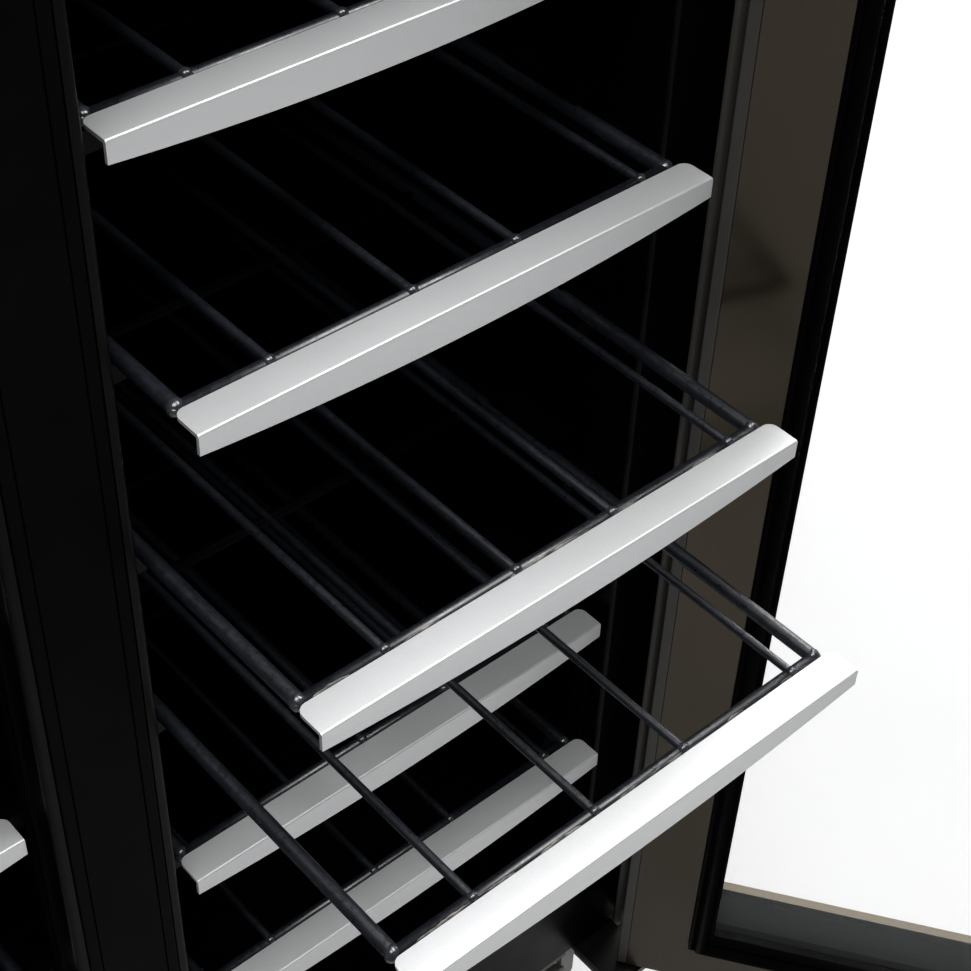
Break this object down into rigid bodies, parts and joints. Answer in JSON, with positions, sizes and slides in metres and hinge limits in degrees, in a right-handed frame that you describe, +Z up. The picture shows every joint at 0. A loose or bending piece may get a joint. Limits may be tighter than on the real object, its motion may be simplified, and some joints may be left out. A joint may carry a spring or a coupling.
{
  "type": "wine cooler",
  "caption": "Free-standing dual-zone wine cooler with twin glass doors that swing open, sliding wire bottle racks with steel fronts and a central control post.",
  "frame": {"origin": "centre of the plan box at floor level, under the levelling feet", "axes": "+Z up, +X to the right seen from the front, +Y towards the back"},
  "size_m": [0.9926, 0.789, 0.87],
  "materials": {
    "cabinet_paint": "satin",
    "back_sheet": "satin",
    "foam": "matte",
    "liner_plastic": "satin",
    "mullion_black": "satin",
    "display_glass": "gloss",
    "circuit_board": "matte",
    "grille_grey": "matte",
    "foot_plastic": "matte",
    "hinge_steel": "satin",
    "pin_steel": "polished",
    "fan_plastic": "satin",
    "led_diffuser": "satin",
    "compressor_black": "gloss",
    "condenser_fins": "satin",
    "door_steel": "satin",
    "door_glass": "gloss",
    "retainer_black": "satin",
    "gasket_rubber": "matte",
    "handle_steel": "satin",
    "rack_wire": "gloss",
    "rack_trim_steel": "satin",
    "button_plastic": "satin"
  },
  "bodies": {
    "cabinet": {"outer_shell": "cabinet_paint", "back_panel": "back_sheet", "foam_insulation": "foam", "liner_left": "liner_plastic", "liner_right": "liner_plastic", "mullion_cover": "mullion_black", "display_lens": "display_glass", "control_board": "circuit_board", "base_frame": "back_sheet", "toe_grille": "grille_grey", "levelling_feet": "foot_plastic", "hinge_brackets": "hinge_steel", "hinge_pins": "pin_steel", "evaporator_cover_left": "liner_plastic", "evaporator_cover_right": "liner_plastic", "fan_motors": "fan_plastic", "led_strips": "led_diffuser", "compressor": "compressor_black", "condenser": "condenser_fins", "cord_gland": "foot_plastic", "rack_ledges_left": "liner_plastic", "rack_ledges_right": "liner_plastic"},
    "door_left": {"door_frame_left": "door_steel", "door_edge_left": "retainer_black", "door_glass_left": "door_glass", "door_retainer_left": "retainer_black", "door_gasket_left": "gasket_rubber", "door_handle_left": "handle_steel"},
    "fan_left": {"fan_rotor_left": "fan_plastic"},
    "rack_left_1": {"rack_frame_left_1": "rack_wire", "rack_trim_left_1": "rack_trim_steel"},
    "rack_left_2": {"rack_frame_left_2": "rack_wire", "rack_trim_left_2": "rack_trim_steel"},
    "rack_left_3": {"rack_frame_left_3": "rack_wire", "rack_trim_left_3": "rack_trim_steel"},
    "rack_left_4": {"rack_frame_left_4": "rack_wire", "rack_trim_left_4": "rack_trim_steel"},
    "rack_left_5": {"rack_frame_left_5": "rack_wire", "rack_trim_left_5": "rack_trim_steel"},
    "door_right": {"door_frame_right": "door_steel", "door_edge_right": "retainer_black", "door_glass_right": "door_glass", "door_retainer_right": "retainer_black", "door_gasket_right": "gasket_rubber", "door_handle_right": "handle_steel"},
    "fan_right": {"fan_rotor_right": "fan_plastic"},
    "rack_right_1": {"rack_frame_right_1": "rack_wire", "rack_trim_right_1": "rack_trim_steel"},
    "rack_right_2": {"rack_frame_right_2": "rack_wire", "rack_trim_right_2": "rack_trim_steel"},
    "rack_right_3": {"rack_frame_right_3": "rack_wire", "rack_trim_right_3": "rack_trim_steel"},
    "rack_right_4": {"rack_frame_right_4": "rack_wire", "rack_trim_right_4": "rack_trim_steel"},
    "rack_right_5": {"rack_frame_right_5": "rack_wire", "rack_trim_right_5": "rack_trim_steel"},
    "rack_right_6": {"rack_frame_right_6": "rack_wire", "rack_trim_right_6": "rack_trim_steel"},
    "button_power": {"button_power": "button_plastic"},
    "button_light": {"button_light": "button_plastic"},
    "button_up": {"button_up": "button_plastic"},
    "button_down": {"button_down": "button_plastic"}
  },
  "joints": [
    {"name": "door_left_hinge", "type": "hinge", "parent": "cabinet", "child": "door_left", "pos_m": [-0.2882, -0.15368, 0.48], "axis": [0, 0, -1], "range_deg": [-125, 0]},
    {"name": "door_right_hinge", "type": "hinge", "parent": "cabinet", "child": "door_right", "pos_m": [0.2882, -0.15368, 0.48], "axis": [0, 0, 1], "range_deg": [-42, 0]},
    {"name": "rack_left_1_slide", "type": "slide", "parent": "cabinet", "child": "rack_left_1", "axis": [0, -1, 0], "range_m": [0, 0.25]},
    {"name": "rack_left_2_slide", "type": "slide", "parent": "cabinet", "child": "rack_left_2", "axis": [0, -1, 0], "range_m": [0, 0.25]},
    {"name": "rack_left_3_slide", "type": "slide", "parent": "cabinet", "child": "rack_left_3", "axis": [0, -1, 0], "range_m": [0, 0.25]},
    {"name": "rack_left_4_slide", "type": "slide", "parent": "cabinet", "child": "rack_left_4", "axis": [0, -1, 0], "range_m": [0, 0.25]},
    {"name": "rack_left_5_slide", "type": "slide", "parent": "cabinet", "child": "rack_left_5", "axis": [0, -1, 0], "range_m": [0, 0.25]},
    {"name": "rack_right_1_slide", "type": "slide", "parent": "cabinet", "child": "rack_right_1", "axis": [0, -1, 0], "range_m": [0, 0.25]},
    {"name": "rack_right_2_slide", "type": "slide", "parent": "cabinet", "child": "rack_right_2", "axis": [0, -1, 0], "range_m": [-0.035, 0.215]},
    {"name": "rack_right_3_slide", "type": "slide", "parent": "cabinet", "child": "rack_right_3", "axis": [0, -1, 0], "range_m": [-0.092, 0.158]},
    {"name": "rack_right_4_slide", "type": "slide", "parent": "cabinet", "child": "rack_right_4", "axis": [0, -1, 0], "range_m": [-0.14, 0.11]},
    {"name": "rack_right_5_slide", "type": "slide", "parent": "cabinet", "child": "rack_right_5", "axis": [0, -1, 0], "range_m": [-0.004, 0.246]},
    {"name": "rack_right_6_slide", "type": "slide", "parent": "cabinet", "child": "rack_right_6", "axis": [0, -1, 0], "range_m": [-0.011, 0.239]},
    {"name": "button_power_press", "type": "slide", "parent": "cabinet", "child": "button_power", "axis": [0, 1, 0], "range_m": [0, 0.001], "stiffness_N_per_m": 400},
    {"name": "button_light_press", "type": "slide", "parent": "cabinet", "child": "button_light", "axis": [0, 1, 0], "range_m": [0, 0.001], "stiffness_N_per_m": 400},
    {"name": "button_up_press", "type": "slide", "parent": "cabinet", "child": "button_up", "axis": [0, 1, 0], "range_m": [0, 0.001], "stiffness_N_per_m": 400},
    {"name": "button_down_press", "type": "slide", "parent": "cabinet", "child": "button_down", "axis": [0, 1, 0], "range_m": [0, 0.001], "stiffness_N_per_m": 400},
    {"name": "fan_left_spin", "type": "hinge", "parent": "cabinet", "child": "fan_left", "pos_m": [-0.14225, 0.32703, 0.56], "axis": [0, 1, 0], "continuous": true},
    {"name": "fan_right_spin", "type": "hinge", "parent": "cabinet", "child": "fan_right", "pos_m": [0.14225, 0.32703, 0.56], "axis": [0, 1, 0], "continuous": true}
  ]
}
